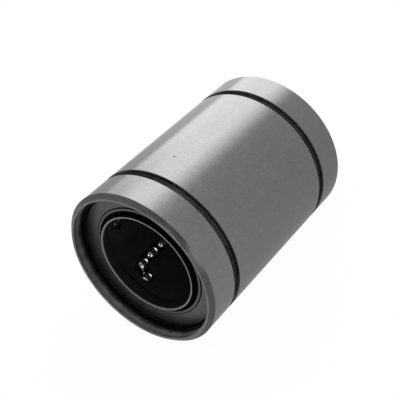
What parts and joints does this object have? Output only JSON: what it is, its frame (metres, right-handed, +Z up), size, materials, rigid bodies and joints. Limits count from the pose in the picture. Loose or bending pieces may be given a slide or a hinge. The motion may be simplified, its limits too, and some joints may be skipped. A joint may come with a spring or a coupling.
{
  "type": "linear ball bushing",
  "caption": "Closed linear ball bushing that guides a round shaft on recirculating steel balls in a cage, with a lip seal at each end.",
  "frame": {"origin": "centre of the bore, midway between the two end faces", "axes": "+Y along the bore from the front end to the rear end, +Z up, +X to the right seen from the front"},
  "size_m": [0.032, 0.045, 0.032],
  "materials": {
    "ground_steel": "ground and lightly polished bearing steel, fine circumferential grinding marks",
    "ring_steel": "black-oxide spring steel",
    "ball_steel": "polished bearing balls with a film of oil",
    "seal_rubber": "moulded nitrile rubber, slightly textured, satin lip",
    "cage_resin": "moulded black resin, satin"
  },
  "bodies": {
    "bushing": {"outer_sleeve": "ground_steel", "ball_cage": "cage_resin", "retaining_ring_front": "ring_steel", "retaining_ring_rear": "ring_steel", "seal_front": "seal_rubber", "seal_rear": "seal_rubber"},
    "circuit_1_load_row": {"circuit_1_load_ball_1": "ball_steel", "circuit_1_load_ball_2": "ball_steel", "circuit_1_load_ball_3": "ball_steel", "circuit_1_load_ball_4": "ball_steel", "circuit_1_load_ball_5": "ball_steel", "circuit_1_load_ball_6": "ball_steel", "circuit_1_load_ball_7": "ball_steel"},
    "circuit_1_return_row": {"circuit_1_return_balls": "ball_steel"},
    "circuit_1_front_turn": {"circuit_1_front_turn_balls": "ball_steel"},
    "circuit_1_rear_turn": {"circuit_1_rear_turn_balls": "ball_steel"},
    "circuit_2_load_row": {"circuit_2_load_ball_1": "ball_steel", "circuit_2_load_ball_2": "ball_steel", "circuit_2_load_ball_3": "ball_steel", "circuit_2_load_ball_4": "ball_steel", "circuit_2_load_ball_5": "ball_steel", "circuit_2_load_ball_6": "ball_steel", "circuit_2_load_ball_7": "ball_steel"},
    "circuit_2_return_row": {"circuit_2_return_balls": "ball_steel"},
    "circuit_2_front_turn": {"circuit_2_front_turn_balls": "ball_steel"},
    "circuit_2_rear_turn": {"circuit_2_rear_turn_balls": "ball_steel"},
    "circuit_3_load_row": {"circuit_3_load_ball_1": "ball_steel", "circuit_3_load_ball_2": "ball_steel", "circuit_3_load_ball_3": "ball_steel", "circuit_3_load_ball_4": "ball_steel", "circuit_3_load_ball_5": "ball_steel", "circuit_3_load_ball_6": "ball_steel", "circuit_3_load_ball_7": "ball_steel"},
    "circuit_3_return_row": {"circuit_3_return_balls": "ball_steel"},
    "circuit_3_front_turn": {"circuit_3_front_turn_balls": "ball_steel"},
    "circuit_3_rear_turn": {"circuit_3_rear_turn_balls": "ball_steel"},
    "circuit_4_load_row": {"circuit_4_load_ball_1": "ball_steel", "circuit_4_load_ball_2": "ball_steel", "circuit_4_load_ball_3": "ball_steel", "circuit_4_load_ball_4": "ball_steel", "circuit_4_load_ball_5": "ball_steel", "circuit_4_load_ball_6": "ball_steel", "circuit_4_load_ball_7": "ball_steel"},
    "circuit_4_return_row": {"circuit_4_return_balls": "ball_steel"},
    "circuit_4_front_turn": {"circuit_4_front_turn_balls": "ball_steel"},
    "circuit_4_rear_turn": {"circuit_4_rear_turn_balls": "ball_steel"},
    "circuit_5_load_row": {"circuit_5_load_ball_1": "ball_steel", "circuit_5_load_ball_2": "ball_steel", "circuit_5_load_ball_3": "ball_steel", "circuit_5_load_ball_4": "ball_steel", "circuit_5_load_ball_5": "ball_steel", "circuit_5_load_ball_6": "ball_steel", "circuit_5_load_ball_7": "ball_steel"},
    "circuit_5_return_row": {"circuit_5_return_balls": "ball_steel"},
    "circuit_5_front_turn": {"circuit_5_front_turn_balls": "ball_steel"},
    "circuit_5_rear_turn": {"circuit_5_rear_turn_balls": "ball_steel"}
  },
  "joints": [
    {"name": "circuit_1_load_slide", "type": "slide", "parent": "bushing", "child": "circuit_1_load_row", "axis": [0, 1, 0], "range_m": [-0.00169, 0.00169]},
    {"name": "circuit_1_return_slide", "type": "slide", "parent": "bushing", "child": "circuit_1_return_row", "axis": [0, 1, 0], "range_m": [-0.00169, 0.00169]},
    {"name": "circuit_1_front_turn_swing", "type": "hinge", "parent": "bushing", "child": "circuit_1_front_turn", "pos_m": [-0.00442, -0.0122, -0.01083], "axis": [-0.5259, 0, -0.8505], "range_deg": [-33, 33]},
    {"name": "circuit_1_rear_turn_swing", "type": "hinge", "parent": "bushing", "child": "circuit_1_rear_turn", "pos_m": [-0.00442, 0.0122, -0.01083], "axis": [-0.5259, 0, -0.8505], "range_deg": [-33, 33]},
    {"name": "circuit_2_load_slide", "type": "slide", "parent": "bushing", "child": "circuit_2_load_row", "axis": [0, 1, 0], "range_m": [-0.00169, 0.00169]},
    {"name": "circuit_2_return_slide", "type": "slide", "parent": "bushing", "child": "circuit_2_return_row", "axis": [0, 1, 0], "range_m": [-0.00169, 0.00169]},
    {"name": "circuit_2_front_turn_swing", "type": "hinge", "parent": "bushing", "child": "circuit_2_front_turn", "pos_m": [0.00894, -0.0122, -0.00755], "axis": [0.6464, 0, -0.763], "range_deg": [-33, 33]},
    {"name": "circuit_2_rear_turn_swing", "type": "hinge", "parent": "bushing", "child": "circuit_2_rear_turn", "pos_m": [0.00894, 0.0122, -0.00755], "axis": [0.6464, 0, -0.763], "range_deg": [-33, 33]},
    {"name": "circuit_3_load_slide", "type": "slide", "parent": "bushing", "child": "circuit_3_load_row", "axis": [0, 1, 0], "range_m": [-0.00169, 0.00169]},
    {"name": "circuit_3_return_slide", "type": "slide", "parent": "bushing", "child": "circuit_3_return_row", "axis": [0, 1, 0], "range_m": [-0.00169, 0.00169]},
    {"name": "circuit_3_front_turn_swing", "type": "hinge", "parent": "bushing", "child": "circuit_3_front_turn", "pos_m": [0.00994, -0.0122, 0.00616], "axis": [0.9254, 0, 0.3789], "range_deg": [-33, 33]},
    {"name": "circuit_3_rear_turn_swing", "type": "hinge", "parent": "bushing", "child": "circuit_3_rear_turn", "pos_m": [0.00994, 0.0122, 0.00616], "axis": [0.9254, 0, 0.3789], "range_deg": [-33, 33]},
    {"name": "circuit_4_load_slide", "type": "slide", "parent": "bushing", "child": "circuit_4_load_row", "axis": [0, 1, 0], "range_m": [-0.00169, 0.00169]},
    {"name": "circuit_4_return_slide", "type": "slide", "parent": "bushing", "child": "circuit_4_return_row", "axis": [0, 1, 0], "range_m": [-0.00169, 0.00169]},
    {"name": "circuit_4_front_turn_swing", "type": "hinge", "parent": "bushing", "child": "circuit_4_front_turn", "pos_m": [-0.00279, -0.0122, 0.01136], "axis": [-0.0744, 0, 0.9972], "range_deg": [-33, 33]},
    {"name": "circuit_4_rear_turn_swing", "type": "hinge", "parent": "bushing", "child": "circuit_4_rear_turn", "pos_m": [-0.00279, 0.0122, 0.01136], "axis": [-0.0744, 0, 0.9972], "range_deg": [-33, 33]},
    {"name": "circuit_5_load_slide", "type": "slide", "parent": "bushing", "child": "circuit_5_load_row", "axis": [0, 1, 0], "range_m": [-0.00169, 0.00169]},
    {"name": "circuit_5_return_slide", "type": "slide", "parent": "bushing", "child": "circuit_5_return_row", "axis": [0, 1, 0], "range_m": [-0.00169, 0.00169]},
    {"name": "circuit_5_front_turn_swing", "type": "hinge", "parent": "bushing", "child": "circuit_5_front_turn", "pos_m": [-0.01167, -0.0122, 0.00086], "axis": [-0.9714, 0, 0.2374], "range_deg": [-33, 33]},
    {"name": "circuit_5_rear_turn_swing", "type": "hinge", "parent": "bushing", "child": "circuit_5_rear_turn", "pos_m": [-0.01167, 0.0122, 0.00086], "axis": [-0.9714, 0, 0.2374], "range_deg": [-33, 33]}
  ],
  "couplings": [
    {"joint": "circuit_1_front_turn_swing", "follows": "circuit_1_load_slide", "rad_per_m": 333.33},
    {"joint": "circuit_1_rear_turn_swing", "follows": "circuit_1_load_slide", "rad_per_m": 333.33},
    {"joint": "circuit_1_return_slide", "follows": "circuit_1_load_slide", "ratio": -1},
    {"joint": "circuit_2_front_turn_swing", "follows": "circuit_2_load_slide", "rad_per_m": 333.33},
    {"joint": "circuit_2_rear_turn_swing", "follows": "circuit_2_load_slide", "rad_per_m": 333.33},
    {"joint": "circuit_2_return_slide", "follows": "circuit_2_load_slide", "ratio": -1},
    {"joint": "circuit_3_front_turn_swing", "follows": "circuit_3_load_slide", "rad_per_m": 333.33},
    {"joint": "circuit_3_rear_turn_swing", "follows": "circuit_3_load_slide", "rad_per_m": 333.33},
    {"joint": "circuit_3_return_slide", "follows": "circuit_3_load_slide", "ratio": -1},
    {"joint": "circuit_4_front_turn_swing", "follows": "circuit_4_load_slide", "rad_per_m": 333.33},
    {"joint": "circuit_4_rear_turn_swing", "follows": "circuit_4_load_slide", "rad_per_m": 333.33},
    {"joint": "circuit_4_return_slide", "follows": "circuit_4_load_slide", "ratio": -1},
    {"joint": "circuit_5_front_turn_swing", "follows": "circuit_5_load_slide", "rad_per_m": 333.33},
    {"joint": "circuit_5_rear_turn_swing", "follows": "circuit_5_load_slide", "rad_per_m": 333.33},
    {"joint": "circuit_5_return_slide", "follows": "circuit_5_load_slide", "ratio": -1}
  ]
}
